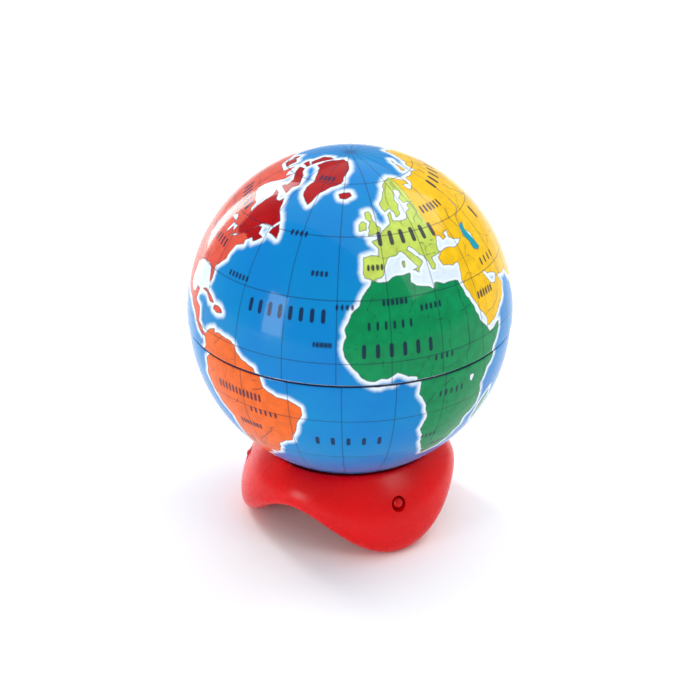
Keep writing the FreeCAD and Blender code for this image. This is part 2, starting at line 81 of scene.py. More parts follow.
ARCTIC_ISLANDS = [
    [(-62, 66.5), (-68, 70.5), (-79, 73.5), (-89, 73), (-80, 70), (-73, 68), (-73, 65),
     (-78, 64.5), (-66, 62), (-66, 65)],
    [(-117, 73), (-105, 73), (-102, 69.5), (-115, 69.3), (-118, 71.5)],
    [(-125, 72), (-122, 74), (-116, 73.2), (-121, 71.3)],
    [(-62, 82.5), (-75, 83), (-91, 81.5), (-88, 77), (-79, 76.3), (-76, 79)],
    [(-80, 75.5), (-95, 76.5), (-92, 74.7), (-80, 74.5)],
    [(-55.5, 51.5), (-59.2, 48), (-53, 46.7), (-53.5, 49)],
    [(-84.8, 21.9), (-82, 23.1), (-77, 21.8), (-74.3, 20.2), (-77.5, 19.9), (-80, 21.8)],
    [(-74, 19.8), (-69.8, 19.8), (-68.5, 18.6), (-71.5, 17.8), (-74.2, 18.4)]]
EASTERN_CANADA = [(-79, 44.5), (-73, 45), (-68, 43), (-50, 44), (-50, 63), (-80, 64), (-79, 52)]
GREENLAND = [
    (-44, 60), (-51, 63), (-53.5, 67), (-51, 70), (-56, 73.5), (-61, 76), (-71, 77),
    (-67, 80), (-50, 82.3), (-33, 83.5), (-20, 82), (-17, 79.5), (-20, 75), (-22, 71),
    (-32, 68.3), (-40, 65.2)]
ICELAND = [(-24, 65.6), (-20, 66.2), (-15, 66.3), (-13.7, 64.9), (-18.5, 63.5), (-22.5, 63.9)]
SOUTH_AMERICA = [
    (-77.5, 8.5), (-75.5, 10.7), (-71.7, 12.3), (-71.5, 10.8), (-68, 11.5), (-62, 10.7),
    (-57, 6), (-51.5, 4.2), (-50, 0), (-44.5, -2.7), (-40, -2.9), (-35.3, -5.2),
    (-34.9, -8.3), (-37.5, -12), (-39, -17.5), (-41, -22), (-45, -23.5), (-48.5, -26),
    (-48.8, -28.7), (-53.5, -34), (-58.3, -34), (-57, -36.3), (-62, -39), (-65, -41),
    (-63.7, -42.6), (-67.5, -46), (-65.8, -47.5), (-69, -51), (-68.3, -53),
    (-65.2, -54.8), (-69.5, -55.3), (-74, -52), (-75.5, -46.8), (-73.2, -42),
    (-73.6, -37), (-71.5, -32), (-70.2, -20), (-76.2, -14), (-79.5, -8), (-81.3, -5),
    (-80, -2.3), (-80.3, 0.8), (-77.3, 4), (-78, 7.3)]
AFRICA = [
    (-6, 35.8), (-2, 35.1), (5, 36.8), (11, 37.2), (10.3, 34.2), (15.2, 32.3),
    (20, 30.6), (20.5, 32.6), (25, 31.6), (32.3, 31.2), (32.6, 29.8), (35.5, 24),
    (37.3, 21), (39.2, 15.8), (43.2, 12), (44.5, 10.4), (51.2, 11.9), (50.8, 9.5),
    (46, 3), (41.5, -1.8), (39, -5.5), (40.6, -11), (40.5, -15.5), (35, -20),
    (35.5, -24), (32.8, -26), (32.5, -28.5), (28, -33), (22, -34.2), (18.4, -34.3),
    (17.5, -31), (15, -26.5), (14.4, -22.5), (11.8, -17), (13.6, -12), (12.3, -6),
    (9, -1), (9.6, 3.8), (6, 4.3), (2, 6.2), (-1.5, 4.4), (-4, 4.6),
    (-8, 3.9), (-11, 5.3), (-13.6, 8.4), (-15.6, 10.8), (-16.8, 12.4), (-17.5, 14.7),
    (-16.3, 19), (-17, 21), (-14.5, 26), (-11.5, 28.2),
    (-9.8, 31.5)]
MADAGASCAR = [(49.3, -12.2), (50.3, -15.7), (47.2, -24.8), (45, -25.4), (43.5, -22.5),
              (44.3, -16.5)]
EUROPE = [
    (-5.5, 36), (-8.9, 37), (-9.4, 38.8), (-8.8, 43.2), (-1.8, 43.4), (-1.2, 46),
    (-4.5, 48.3), (-1.5, 48.7), (1.6, 50.9), (4.5, 52.3), (8.2, 53.7), (8.2, 57),
    (10.6, 57.6), (10, 54.5), (14, 54), (19, 54.4), (21.3, 57), (24, 57.3), (23.7, 59),
    (29.5, 59.9), (22.8, 60), (21.4, 62), (25.3, 65), (22, 65.7), (17.3, 61.7),
    (18.7, 60), (16.5, 56.5), (13, 55.5), (11, 59), (7, 58), (5, 61), (10.5, 64.3),
    (14.5, 68), (21, 70), (27, 71), (31, 70.3), (40.5, 67.8), (40, 66.3), (34, 66.7),
    (35, 64.3), (37.5, 64), (41, 65), (44, 66.3), (44, 68.5), (54, 68.4), (60.5, 69.5),
    (67, 68.5), (66, 67), (59.5, 62), (59.5, 55), (58, 51), (51.5, 49), (49, 46.3),
    (47.5, 43), (44, 42.7), (40, 43.5), (37.5, 44.7), (39, 47.2), (35, 46.2),
    (36.5, 45.3), (33.6, 44.5), (32.8, 46.1), (30.8, 46.5), (28.6, 43.8), (28, 42),
    (29, 41.2), (26, 40.8), (23, 40.4), (24, 38), (22.8, 36.6), (21.5, 37),
    (19.4, 41.5), (13.6, 45.5), (12.3, 44.3), (15.9, 41.9), (18.4, 40), (16, 38),
    (12, 41.7), (9, 44.3), (6, 43), (3.2, 43), (0, 39.5), (-0.5, 37.8), (-2, 36.7)]
EUROPE_ISLANDS = [
    [(-5.5, 50.1), (1.3, 51.2), (1.7, 52.7), (0, 53.5), (-2, 55.8), (-2, 57.5),
     (-3.2, 58.6), (-6, 58.3), (-5.5, 56), (-3.2, 54.8), (-4.6, 53.3), (-4.5, 52)],
    [(-10, 51.8), (-6.3, 52.2), (-5.7, 54.5), (-8, 55.3), (-10, 54)],
    [(12.5, 38), (15.5, 38.2), (15, 36.8)],
    [(8.3, 41), (9.7, 41), (9.5, 39.2), (8.5, 39)],
]
ASIA = [
    (67, 68.5), (68, 71.5), (73, 72.5), (75, 72), (81, 73.5), (87, 75), (104, 77.7),
    (113, 76), (113, 73.7), (127, 73), (131, 71), (140, 72.5), (150, 71.5), (160, 69.7),
    (170, 70), (180, 68.8), (190, 66), (186, 64.6), (180, 65), (178, 62.5), (170, 60),
    (163, 56), (156.8, 51), (155.7, 56), (164, 62.5), (156, 61.5), (155, 59.3),
    (143, 59.3), (135.5, 54.7), (141, 53), (140.5, 48), (135, 43.5), (131, 42.8),
    (127.5, 39.3), (129.4, 36.5), (126.5, 34.5), (126.7, 37.5), (124.7, 39.7),
    (121.5, 39), (122, 40.6), (118, 39), (122.4, 37.2), (119.3, 35), (121.8, 31.2),
    (121.5, 28), (117, 23.5), (111, 21.3), (108, 21.6), (106, 19), (109, 13),
    (106.8, 10.4), (104.8, 8.7), (105, 10.5), (102.5, 12.2), (100.5, 13.4), (99.5, 9.5),
    (103.4, 3.8), (104.2, 1.4), (101, 3), (98.3, 8), (98.6, 13), (97.3, 16.5),
    (94.3, 16), (94, 19), (90.5, 22.5), (87, 21.3), (82.3, 16.7), (80.2, 13.5),
    (79.8, 10.3), (77.6, 8.1), (73, 17), (72.8, 21), (70.3, 20.9), (69, 22.3), (67, 25),
    (61.5, 25.1), (57.3, 25.8), (56.5, 27.1), (51, 28.5), (48.8, 30.3), (48, 29.5),
    (50.2, 26.5), (51.5, 25), (54, 24.2), (56.3, 26.2), (59.8, 22.5), (57.8, 19),
    (55.3, 17.4), (52, 15.6), (45, 12.8), (43.3, 13), (42.7, 16.5), (39.1, 21.3),
    (35, 28), (34.3, 31), (35.5, 34), (36, 36.7), (32.5, 36.1), (30.5, 36.6),
    (27.5, 37), (26.5, 39.5), (29, 41.1), (33, 42), (38, 41), (41.5, 41.5), (44, 42.7),
    (47.5, 43), (49, 40.5), (49, 37.7), (52, 36.7), (54, 37.2), (53, 40), (51, 44.5),
    (53, 46.8), (49, 46.3), (51.5, 49), (58, 51), (59.5, 55), (59.5, 62), (66, 67)]
ASIA_ISLANDS = [
    [(51.5, 71.5), (56, 73.5), (68.5, 76.9), (61, 75.8), (56.5, 71)],
    [(131, 34.3), (135.5, 33.7), (140, 35.3), (141.8, 39.5), (141, 41.3), (139.7, 38.8),
     (136.8, 37), (132.5, 35.3)],
    [(140, 41.8), (145.3, 43.5), (142, 45.4)],
    [(130, 33.2), (131.8, 33.3), (131, 31.3)],
    [(142.2, 46.5), (143.5, 49.5), (142.8, 54), (142, 50)],
    [(121.5, 25.2), (120.8, 22.2), (120.1, 23.5)],
    [(120.5, 18.2), (122.2, 18), (121.7, 14.5), (124, 12.8), (120.6, 14)],
    [(122.2, 7.5), (125.5, 9.6), (126.4, 7), (125, 6)],
    [(109.5, 1.8), (113, 3.2), (117, 7), (119, 5), (117.5, 1), (116, -3.7),
     (110.5, -2.9), (109, 0.3)],
    [(95.4, 5.6), (98.5, 3.9), (103.5, -0.5), (106, -3), (105.5, -5.8), (101.5, -3.2)],
    [(105.3, -6.6), (108.6, -6.7), (114.4, -7.8), (114, -8.6), (106.5, -7.4)],
    [(120, 1), (125, 1.5), (121, 0.5), (123.3, -1), (121.5, -2), (122.3, -4.8),
     (120.3, -5.5), (119.3, -3), (119.8, 0)],
    [(80, 9.7), (81.8, 7.5), (80.6, 6)]]
OCEANIA = [
    [(131, -0.8), (134, -0.8), (135, -3.3), (138, -1.8), (144.5, -3.9), (147.8, -6.2),
     (150.7, -10.4), (146.5, -8.7), (142.5, -9.2), (138, -8.3), (137.8, -5.3),
     (132.8, -4)],
    [(113.8, -22.5), (114, -26), (115.7, -31.8), (115, -34.3), (118, -35),
     (123.6, -33.9), (129, -31.6), (131.5, -31.5), (135.5, -34.8), (137.8, -32.7),
     (138.2, -35.6), (140.7, -38), (143.6, -38.8), (146.3, -39), (150, -37.3),
     (151.5, -33), (153.4, -28.2), (152.9, -25.2), (149, -20.5), (146, -18.8),
     (145.3, -15), (142.6, -10.8), (141.6, -13.5), (140.8, -17.5), (139, -17.3),
     (135.6, -15), (136.8, -12.2), (132.6, -11.4), (129.7, -14.9), (126.8, -13.9),
     (124, -16.2), (122.2, -18.2), (119, -20)],
    [(144.7, -40.8), (148.2, -40.9), (147, -43.5)],
    [(172.8, -34.5), (175.5, -37), (178.4, -37.7), (175.3, -41.5), (173.8, -39.3)],
    [(172.8, -40.6), (174.2, -41.8), (170.8, -45.8), (168.3, -46.6), (166.5, -45.9)]]
CASPIAN = [(47.5, 43), (49, 40.5), (49, 37.7), (52, 36.7), (54, 37.2), (53, 40),
           (51, 44.5), (53, 46.8), (49, 46.3)]
LAKES = [
    [(-92, 46.8), (-88, 48.8), (-84.7, 46.7), (-88, 46.6)],
    [(-87.5, 42), (-86, 45.8), (-81, 45.8), (-82, 43.3), (-84, 45), (-86, 42.5)],
    [(-83, 41.8), (-79, 43.3), (-76.5, 43.9), (-79, 42.4)],
    [(32, 0.5), (34.3, 0), (33, -2.7), (31.8, -1.5)]]
# Inner seas that are printed pale all over.
PALE_SEAS = [
    [(-5.5, 33), (0, 30), (36, 30), (37, 38), (42, 40), (42, 47.5), (27, 47.5), (10, 46), (-3, 41)],
    [(-95, 51), (-76, 51), (-76, 65), (-95, 65)],
    [(-98, 17), (-84, 20), (-80, 27), (-84, 31), (-98, 31)],
    [(10, 54), (30, 54), (30, 66), (17, 66)]]
BORDERS = [
    [(-123, 49), (-95, 49), (-88, 48), (-83, 46), (-82, 42.5), (-76, 44), (-70, 46), (-67, 45)],
    [(-117, 32.5), (-108, 31.5), (-103, 29), (-97.3, 26)],
    [(-141, 69.6), (-141, 60.5)], [(-120, 60), (-102, 60), (-94.5, 59)],
    [(-114, 60), (-111, 49)], [(-102, 60), (-101, 49)], [(-91, 57), (-95, 52.5), (-95, 49)],
    [(-79.5, 51.3), (-79.5, 47), (-76, 45)], [(-92, 15), (-89, 17.5)],
    [(-67, 11), (-72, 7), (-67, 2), (-70, -4), (-73, -8), (-69, -11)],
    [(-60, 5), (-64, 4), (-62, 1), (-52, 2)], [(-79, 1), (-75, -1), (-79, -4.5)],
    [(-69, -11), (-65, -12), (-60, -16), (-58, -20), (-54, -25), (-57.5, -30)],
    [(-69, -17.5), (-67, -23), (-70, -30), (-71.5, -40), (-72, -50)],
    [(-67, -22), (-62, -22), (-57.7, -25)], [(-57.5, -30), (-53.5, -33)],
    [(-6, 31), (-8.6, 27.3), (-4.8, 25), (1, 21), (4, 19), (9, 27), (9.5, 30.5), (8, 35)],
    [(11.5, 33), (10, 24), (15, 23), (24, 20)], [(25, 31.5), (25, 22), (36, 22)],
    [(24, 20), (23, 10), (28, 9.5), (34, 10), (37, 17)], [(15, 23), (15, 14), (14, 10)],
    [(-17, 16), (-12, 15), (-5, 15.5), (-6, 25)], [(-12, 12), (-8, 11), (-3, 10)],
    [(3, 6.3), (3.5, 11.5), (13, 13.5)], [(-3, 5), (-3, 11), (0, 11)],
    [(9, 4), (14, 10), (16, 7), (14.5, 2), (12, 2)], [(16, 4), (27, 5), (30, 4)],
    [(12, -6), (17, -5), (22, -7), (22, -11), (24, -13)], [(30, 4), (29.5, -4), (31, -9), (24, -13)],
    [(34, 0), (38, -3), (39.2, -4.7)], [(42, 4), (45, 5), (48, 8), (43, 11)],
    [(12, -17.5), (21, -18), (25, -17.5), (30, -15.5), (33, -14), (40, -11)],
    [(20, -18), (20, -28), (17, -28.5)], [(25, -17.5), (28, -22), (31, -22), (32, -26)],
    [(-1.8, 43.3), (3, 42.5)], [(2.5, 51), (6, 49.5), (8, 48.8), (7.5, 47.5), (7, 44)],
    [(6, 53), (6, 50)], [(7.5, 47.5), (13, 47.5), (16.5, 48), (22, 48), (23, 50.5), (23, 54)],
    [(14.2, 54), (15, 51), (19, 49.5), (22, 49)],
    [(13.5, 46), (18, 45.8), (21, 46), (22.5, 44), (28.5, 44)],
    [(22, 44), (21, 41.5), (26, 41.5)], [(23, 54), (28, 56), (28, 59)],
    [(24, 51.5), (31, 52), (36, 50), (39, 47.5)],
    [(12, 59), (12, 63), (16, 67), (20, 69)], [(24, 66), (23.5, 68.5), (29, 69.5)],
    [(29, 61), (30, 67), (29, 69.5)],
    [(26, 69), (28, 45.5)], [(36, 37), (42, 37), (45, 40), (44, 42)],
    [(35, 29.5), (39, 32), (42, 31), (47, 29)],
    [(42, 37), (46, 35), (48, 30.5)], [(44, 17), (52, 19), (55, 22)],
    [(61, 25), (61, 31), (61, 35.5), (66, 37.5)],
    [(59, 51), (70, 54), (80, 51), (87, 49), (98, 50), (117, 49.5), (127, 50), (135, 48.5)],
    [(87, 49), (91, 45), (97, 42.5), (108, 42.5), (118, 46.5), (117, 49.5)],
    [(66, 37.5), (74, 37), (80, 31), (88, 27.8), (97, 28), (98, 24), (108, 21.6)],
    [(68, 24), (71, 29), (74, 33), (74, 37)], [(80, 51), (80, 45), (74, 40)],
    [(52, 41), (58, 42), (66, 37.5)],
    [(88, 26), (92, 25), (92, 21)], [(98, 24), (100, 20), (106, 18)], [(129, -15), (129, -31.5)],
    [(138, -16.8), (138, -26), (141, -29), (141, -38)], [(138, -26), (129, -26)],
    [(141, -29), (153, -28.5)],
    [(141, -2.6), (141, -9.1)]]
RIVERS = [
    [(-50, 0), (-55, -2.2), (-60, -3.2), (-66, -2.5), (-73, -4.5)],
    [(-60, -3.2), (-63, -8), (-65, -11)], [(-55, -2.2), (-57, -8), (-58, -13)],
    [(-58.3, -34), (-59, -28), (-53, -22), (-48, -17)],
    [(-89.5, 30.2), (-91, 35), (-90, 40), (-95, 47)], [(-90, 38.7), (-100, 44), (-110, 48)],
    [(31, 31.2), (31, 26), (33, 19), (32.5, 13), (31, 5), (32, 1)],
    [(12.3, -6), (17, -1), (23, 2), (26, -5), (28, -11)], [(6, 4.5), (6, 9), (0, 16), (-9, 12)],
    [(48, 46), (46, 50), (49, 55), (40, 57)], [(28.5, 45.3), (19, 46), (9, 48)],
    [(73, 68), (66, 62), (72, 56), (84, 50)], [(83, 71), (88, 64), (92, 56)],
    [(127, 72), (125, 64), (108, 55)], [(141, 53), (128, 50), (118, 50)],
    [(121.5, 31.5), (112, 30), (103, 28), (95, 33)], [(118.5, 37.5), (111, 36), (103, 36)],
    [(90, 23), (82, 26), (78, 30)], [(67.5, 24), (71, 30), (76, 34)]]
# Rows of plain bars that stand in for the map's wording: (start, end, bars, height in mm).
# Each lies across the middle of the land or sea that a globe names there.
LABELS = [
    ((-55, 25), (-25, 25), 8, 1.35), ((-30, -20), (-5, -20), 5, 1.2),
    ((-10, 14), (15, 14), 6, 1.45), ((-8, 22), (8, 22), 6, 0.9),
    ((0, 49), (30, 49), 6, 1.5), ((13, 26), (21, 26), 5, 0.6),
    ((-2, 29), (7, 29), 7, 0.6), ((-7, 40), (-1, 40), 5, 0.5),
    ((18, -3), (28, -3), 5, 0.8), ((-57, -11), (-46, -11), 6, 0.8),
    ((-65, -19), (-55, -19), 7, 0.8), ((-105, 40), (-82, 39), 9, 1.0),
    ((-108, 56), (-86, 53), 6, 1.2), ((-47, 72), (-33, 72), 9, 0.7),
    ((-72, -5), (-52, -5), 12, 1.1), ((60, 62), (110, 64), 7, 1.2),
    ((70, 46), (118, 44), 4, 1.6), ((74, 22), (84, 20), 5, 0.9),
    ((98, 36), (112, 34), 5, 1.0), ((122, -24), (144, -25), 9, 1.3),
    ((66, -12), (92, -16), 6, 1.4), ((-150, 22), (-118, 24), 7, 1.5),
    ((-165, -18), (-120, -18), 7, 1.5), ((17, 9), (24, 9), 4, 0.6),
    ((22, -29), (28, -29), 5, 0.6), ((14, -22), (20, -22), 7, 0.6),
    ((41, 24), (50, 24), 6, 0.8), ((50, 33), (60, 33), 4, 0.8),
    ((32, 56), (48, 56), 6, 0.9), ((-70, 32), (-60, 32), 7, 0.5),
    ((-31, 38), (-25, 38), 5, 0.45), ((-20, 28), (-14, 28), 5, 0.45),
    ((-28, 16), (-22, 16), 5, 0.5), ((-66, -36), (-66, -30), 4, 0.9),
    ((-46, 50), (-38, 50), 5, 0.5)]

# How the map lies on the tin, in degrees: the longitude at the front, how far the map has run
# ahead of an even spacing a quarter turn from the front, and how far below the globe's middle
# the printed equator lies.
FRONT_LONGITUDE = -15.0
FRONT_CROWDING = 6.0
PRINT_DROP = 4.5
FRONT = -90.0
LOWER_TWIST = 1.7
RULE_STEP = 20.0
EUROPE_EAST = 29.0
PALE_DEPTH = 0.42
LABEL_SPACING = 0.62
LABEL_CLEAR = 0.7
BOLD_HEIGHT = 1.15
WEST_EDGE = -170.0
# Distances in millimetres: one beyond any line, the most that a gap is stored as, the extra
# width of bold bars, and how far a land's colour and the dark red reach out past the coast.
BEYOND = 9.0
GAP_LIMIT = 3.0
BOLD_WIDENING = 0.12
TINT_REACH = 2.5
DARK_RED_REACH = 0.5


def rgb(red, green, blue):
    """Linear colour from a display colour of 0 to 255."""
    channels = []
    for value in (red, green, blue):
        share = value / 255
        channels.append(share / 12.92 if share <= 0.04045 else ((share + 0.055) / 1.055) ** 2.4)
    return (*channels, 1.0)


RED_LAND = rgb(214, 80, 62)
DARK_RED_LAND = rgb(168, 0, 8)
ORANGE_LAND = rgb(234, 104, 36)
GREEN_LAND = rgb(0, 138, 82)
LIME_LAND = rgb(190, 212, 92)
YELLOW_LAND = rgb(236, 188, 20)
OCEAN = rgb(0, 132, 198)
TEAL_WATER = rgb(0, 150, 170)
SHALLOWS = rgb(236, 246, 252)
INK = rgb(12, 20, 60)

LANDS = [
    (RED_LAND, [NORTH_AMERICA] + ARCTIC_ISLANDS[5:]),
    (DARK_RED_LAND, [GREENLAND, ICELAND] + ARCTIC_ISLANDS[:5]),
    (ORANGE_LAND, [SOUTH_AMERICA]),
    (GREEN_LAND, [AFRICA, MADAGASCAR]),
    (LIME_LAND, [EUROPE] + EUROPE_ISLANDS),
    (YELLOW_LAND, [ASIA] + ASIA_ISLANDS),
    (RED_LAND, OCEANIA)]


def on_sphere(lonlat):
    """Unit vectors of points given in degrees."""
    lon, lat = np.radians(np.asarray(lonlat, float)).T
    return np.stack([np.cos(lat) * np.cos(lon), np.cos(lat) * np.sin(lon), np.sin(lat)], axis=1)


def roughened(outline, closed, wander=0.3, step=1.7):
    """The outline with short legs that wander a little, as a drawn coast does."""
    points = np.array(outline, float)
    following = np.roll(points, -1, axis=0) if closed else points[1:]
    rng = np.random.default_rng(len(outline) * 7 + int(abs(points[0][0])))
    result = []
    for a, b in zip(points, following):
        stretch = math.cos(math.radians((a[1] + b[1]) / 2))
        length = math.hypot((b[0] - a[0]) * stretch, b[1] - a[1])
        pieces = max(1, int(length / step))
        for k in range(pieces):
            spot = a + (b - a) * k / pieces
            if k:
                spot = spot + rng.normal(0, wander, 2) * (1 / max(stretch, 0.3), 1)
            result.append(spot)
    if not closed:
        result.append(points[-1])
    return np.array(result)


def distance_to(lines, closed, places, radius):
    """Distance in millimetres from each unit vector to the nearest of the lines."""
    best = np.full(len(places), BEYOND)
    for line in lines:
        ends = on_sphere(line)
        starts, stops = (ends, np.roll(ends, -1, axis=0)) if closed else (ends[:-1], ends[1:])
        near = np.where((places @ ends.mean(axis=0)) > -0.2)[0]
        spots = places[near]
        for a, b in zip(starts, stops):
            leg = b - a
            along = np.clip((spots - a) @ leg / max(leg @ leg, 1e-12), 0, 1)
            gap = np.linalg.norm(spots - a - along[:, None] * leg, axis=1) * radius
            best[near] = np.minimum(best[near], gap)
    return best


def inside(outline, lon, lat):
    """Whether each place is inside the outline."""
    odd = np.zeros(len(lon), bool)
    for shift in (-360, 0, 360):
        x = lon + shift
        for (x1, y1), (x2, y2) in zip(outline, np.roll(outline, -1, axis=0)):
            if y1 == y2:
                continue
            crosses = (y1 > lat) != (y2 > lat)
            odd ^= crosses & (x < (x2 - x1) * (lat - y1) / (y2 - y1) + x1)
    return odd


def label_strokes(bold):
    """Short upright strokes of the blank wording bars, as lines of two points."""
    strokes = []
    for start, end, bars, height in LABELS:
        if (height > BOLD_HEIGHT) != bold:
            continue
        a, b = np.array(start, float), np.array(end, float)
        half = math.degrees(height / 2 / UPPER_R)
        reach = math.hypot((b[0] - a[0]) * math.cos(math.radians(a[1])), b[1] - a[1])
        count = min(bars, int(math.radians(reach) * UPPER_R / LABEL_SPACING) + 1)
        for k in range(count):
            middle = a + (b - a) * k / (count - 1)
            strokes.append([middle - (0, half), middle + (0, half)])
    return strokes


def print_attributes(directions, radius, upper):
    """Map values at each direction from the sphere's centre, keyed by attribute name."""
    height = np.degrees(np.arcsin(np.clip(directions[:, 2], -1, 1)))
    turn = np.degrees(np.arctan2(directions[:, 1], directions[:, 0])) - FRONT
    turn = turn - (0 if upper else LOWER_TWIST)
    lat = height + PRINT_DROP * np.cos(np.radians(height))
    lon = turn + FRONT_LONGITUDE + FRONT_CROWDING * np.sin(np.radians(turn))
    lon = (lon - WEST_EDGE) % 360 + WEST_EDGE
    places = on_sphere(np.stack([lon, lat], axis=1))
    land = np.full(len(lon), -BEYOND)
    tint = np.tile(np.array(OCEAN), (len(lon), 1))
    for colour, outlines in LANDS:
        for outline in outlines:
            coast = roughened(outline, True)
            gap = distance_to([coast], True, places, radius)
            signed = np.where(inside(coast, lon, lat), gap, -gap)
            closer = signed > land
            land = np.where(closer, signed, land)
            tint[closer & (signed > -TINT_REACH)] = colour
    east = lon > 180
    home = np.where(east, lon - 360, lon)
    tint[(land > -DARK_RED_REACH) & inside(roughened(EASTERN_CANADA, True), home, lat)] = DARK_RED_LAND
    lime = (tint[:, :3] == LIME_LAND[:3]).all(axis=1)
    tint[lime & (home > EUROPE_EAST)] = YELLOW_LAND
    for outline in PALE_SEAS:
        shallow = inside(np.array(outline, float), lon, lat)
        land = np.where(shallow, np.maximum(land, -PALE_DEPTH), land)
    for outline in LAKES:
        gap = distance_to([outline], True, places, radius)
        signed = np.where(inside(np.array(outline, float), lon, lat), gap, -gap)
        land = np.minimum(land, -signed)
    caspian_gap = distance_to([CASPIAN], True, places, radius)
    caspian = np.where(inside(np.array(CASPIAN, float), lon, lat), caspian_gap, -caspian_gap)
    borders = [roughened(line, False) for line in BORDERS]
    rivers = [roughened(line, False) for line in RIVERS]
    fine_print = distance_to(label_strokes(False), False, places, radius)
    bold_print = distance_to(label_strokes(True), False, places, radius) - BOLD_WIDENING
    written = np.minimum(fine_print, bold_print) < LABEL_CLEAR
    border_gap = np.where(written, GAP_LIMIT, distance_to(borders, False, places, radius))
    river_gap = np.where(written, GAP_LIMIT, distance_to(rivers, False, places, radius))
    turn_rule = np.sin(np.pi * lon / RULE_STEP)
    lat_rule = np.cos(np.pi * lat / RULE_STEP)
    per_radian = math.radians(RULE_STEP) / np.pi * radius
    return {
        "land": land,
        "caspian": caspian,
        "border": np.minimum(border_gap, GAP_LIMIT),
        "river": np.minimum(river_gap, GAP_LIMIT),
        "label_and_seam_shade": np.minimum(np.minimum(fine_print, bold_print), GAP_LIMIT),
        "rule_turn": turn_rule * per_radian * np.cos(np.radians(height)),
        "rule_lat": lat_rule * per_radian,
        "tint": tint}


# ---------------------------------------------------------------- globe meshes
COLUMNS = 540
PRINT_STEP = 0.27
PLAIN_STEP = 2.0


def arc_rows(radius, centre_z, start, end, step):
    """Points (r, z) along a circle about the axis between two heights in degrees."""
    count = max(2, int(abs(math.radians(end - start)) * radius / step))
    angles = np.radians(np.linspace(start, end, count + 1))
    return [(radius * math.cos(a), centre_z + radius * math.sin(a)) for a in angles]


def turned_mesh(name, printed, plain, centre_z, radius, upper, materials):
    """A turned shell: the printed outside in fine rows and the plain rest in coarse ones."""
    rows = printed + plain
    angles = np.radians(np.arange(COLUMNS) * 360 / COLUMNS)
    circle = np.stack([np.cos(angles), np.sin(angles)], axis=1)
    points, faces, material_of = [], [], []
    for r, z in rows:
        points.append(np.column_stack([circle * r, np.full(COLUMNS, z)]))
    points = np.vstack(points)
    column = np.arange(COLUMNS)
    following = (column + 1) % COLUMNS
    closed = not upper
    for k in range(len(rows) if closed else len(rows) - 1):
        low, high = k * COLUMNS, ((k + 1) % len(rows)) * COLUMNS
        quads = np.stack([low + column, low + following, high + following, high + column], axis=1)
        faces.append(quads[:, ::-1] if upper else quads)
        material_of.append(np.full(COLUMNS, 0 if k < len(printed) else 1))
    faces = [tuple(quad) for quad in np.vstack(faces)]
    material_of = list(np.concatenate(material_of))
    if upper:
        for row, z, slot in ((0, rows[0][1], 0), (len(rows) - 1, rows[-1][1], 1)):
            points = np.vstack([points, [[0, 0, z]]])
            tip, base = len(points) - 1, row * COLUMNS
            for a, b in zip(column, following):
                faces.append((tip, base + a, base + b) if slot == 0 else (tip, base + b, base + a))
                material_of.append(slot)
    mesh = bpy.data.meshes.new(name)
    mesh.from_pydata((points * MM).tolist(), [], faces)
    mesh.polygons.foreach_set("material_index", np.array(material_of, "i"))
    mesh.polygons.foreach_set("use_smooth", np.ones(len(faces), bool))
    add_map(mesh, points, len(printed) * COLUMNS, centre_z, radius, upper)
    for material in materials:
        mesh.materials.append(material)
    mesh.validate()
    piece = bpy.data.objects.new(name, mesh)
    bpy.context.collection.objects.link(piece)
    return piece


def add_map(mesh, points, printed_count, centre_z, radius, upper):
    """Stores the map values of the printed points on the mesh."""
    values = {"land": -9.0, "caspian": -9.0, "border": 3.0, "river": 3.0, "label_and_seam_shade": 3.0,
              "rule_turn": 1.0, "rule_lat": 1.0}
    wanted = np.zeros(len(points), bool)
    wanted[:printed_count] = True
    if upper:
        wanted[-2] = True
    offset = points[wanted] - (0, 0, centre_z)
    directions = offset / np.linalg.norm(offset, axis=1)[:, None]
    found = print_attributes(directions, radius, upper)
    for key, blank in values.items():
        data = np.full(len(points), blank)
        data[wanted] = found[key]
        # The lower half's shoulder band, just under the upper half's skirt, is set to full ink here: a
        # painted shadow line standing in for the shade in the seam gap.
        if key == "label_and_seam_shade" and not upper:
            data[points[:, 2] > SHOULDER_Z + 0.3] = 0.0
        layer = mesh.attributes.new(key, "FLOAT", "POINT")
        layer.data.foreach_set("value", data.astype("f"))
    tint = np.tile(np.array(OCEAN), (len(points), 1))
    tint[wanted] = found["tint"]
    layer = mesh.attributes.new("tint", "FLOAT_COLOR", "POINT")
    layer.data.foreach_set("color", tint.astype("f").ravel())


def build_upper_half(materials):
    """Dome, skirt with a rounded edge, and the plain inside."""
    edge = TIN / 2
    dome = arc_rows(UPPER_R, UPPER_Z, 89.6, 0, PRINT_STEP)
    skirt = [(UPPER_R, UPPER_Z - 0.45), (UPPER_R, SKIRT_Z + edge), (UPPER_R - 0.04, SKIRT_Z + 0.04)]
    inner = [(UPPER_R - edge, SKIRT_Z), (UPPER_R - TIN + 0.04, SKIRT_Z + 0.04),
             (UPPER_R - TIN, SKIRT_Z + edge)]
    inner += arc_rows(UPPER_R - TIN, UPPER_Z, 0, 89, PLAIN_STEP)
    return turned_mesh("upper_print", dome + skirt, inner, UPPER_Z, UPPER_R, True, materials)


def height_angle(radius, centre_z, z):
    """Angle in degrees above the sphere's middle of a point at that height."""
    return math.degrees(math.asin((z - centre_z) / radius))


